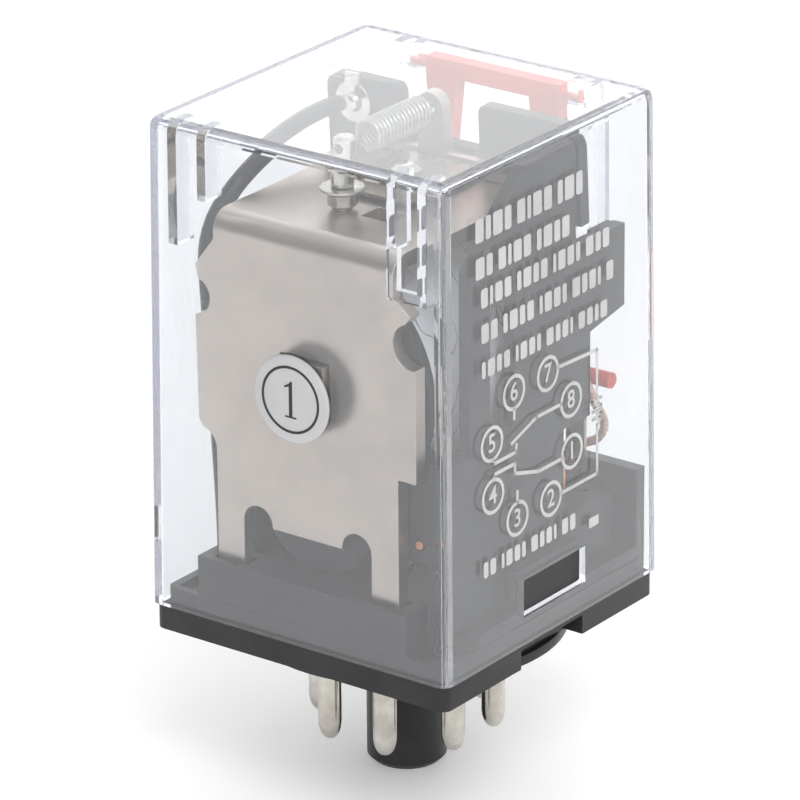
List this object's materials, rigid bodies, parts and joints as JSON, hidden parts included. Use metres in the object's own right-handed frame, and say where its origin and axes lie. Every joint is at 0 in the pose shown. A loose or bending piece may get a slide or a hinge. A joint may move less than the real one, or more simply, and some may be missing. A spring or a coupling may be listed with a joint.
{
  "type": "plug in relay",
  "caption": "Plug-in power relay in a clear square cover, with a coil, hinged armature, changeover contacts and a test lever on a black octal base.",
  "frame": {"origin": "centre of the flat end of the keyed spigot", "axes": "+Z along the spigot's axis, up to the cover's top; -Y towards the yoke's plate; +Y towards the armature, test button and spigot key"},
  "size_m": [0.0356, 0.0358, 0.0682],
  "materials": {
    "black_phenolic": "satin moulded",
    "dark_moulding": "satin moulded",
    "clear_cover": "clear polished",
    "white_label": "matt",
    "nickel_plate": "satin nickel plate",
    "nickel_pin": "bright nickel plate",
    "contact_silver": "bright silver",
    "spring_steel": "bright",
    "spring_bronze": "bright spring metal",
    "copper": "enamelled copper",
    "coil_tape": "matt tape",
    "red_moulding": "moulded",
    "sleeve_black": "satin sleeve"
  },
  "bodies": {
    "relay": {"octal_base": "black_phenolic", "pin_1": "nickel_pin", "pin_2": "nickel_pin", "pin_3": "nickel_pin", "pin_4": "nickel_pin", "pin_5": "nickel_pin", "pin_6": "nickel_pin", "pin_7": "nickel_pin", "pin_8": "nickel_pin", "coil_wire_post_1": "nickel_pin", "spring_post": "nickel_pin", "spring_post_collar": "nickel_pin", "retainer_rivet": "nickel_pin", "yoke": "nickel_plate", "coil_core": "spring_steel", "return_spring": "spring_steel", "shading_ring": "copper", "coil_winding": "copper", "coil_wire_post_2": "copper", "coil_lead_left": "copper", "coil_lead_right": "copper", "no_link_left": "copper", "no_link_right": "copper", "nc_link_left": "copper", "nc_link_right": "copper", "coil_wrap": "coil_tape", "bobbin": "dark_moulding", "contact_block": "dark_moulding", "hinge_retainer": "spring_bronze", "no_strip_left": "spring_bronze", "no_strip_right": "spring_bronze", "nc_strip_left": "spring_bronze", "nc_strip_right": "spring_bronze", "no_contact_left": "contact_silver", "no_contact_right": "contact_silver", "nc_contact_left": "contact_silver", "nc_contact_right": "contact_silver", "contact_braid": "contact_silver", "clear_cover": "clear_cover", "number_label": "white_label", "sleeved_wire": "sleeve_black"},
    "armature_group": {"armature": "nickel_plate", "contact_carrier": "dark_moulding", "moving_blade_left": "spring_bronze", "moving_blade_right": "spring_bronze", "moving_contact_left": "contact_silver", "moving_contact_right": "contact_silver", "blade_rivet_left": "nickel_pin", "blade_rivet_right": "nickel_pin", "wire_lug": "nickel_pin"},
    "test_lever_group": {"test_lever": "red_moulding"}
  },
  "joints": [
    {"name": "armature_hinge", "type": "hinge", "parent": "relay", "child": "armature_group", "pos_m": [0, 0.00619, 0.0587], "axis": [1, 0, 0], "range_deg": [-3.5, 0], "stiffness_Nm_per_rad": 0.015, "springref_deg": 17.19, "deforming": ["return_spring"]},
    {"name": "test_lever_hinge", "type": "hinge", "parent": "relay", "child": "test_lever_group", "pos_m": [0, 0.01535, 0.0655], "axis": [1, 0, 0], "range_deg": [-2.54, 0]}
  ],
  "couplings": [
    {"joint": "test_lever_hinge", "follows": "armature_hinge", "ratio": 0.7196}
  ]
}
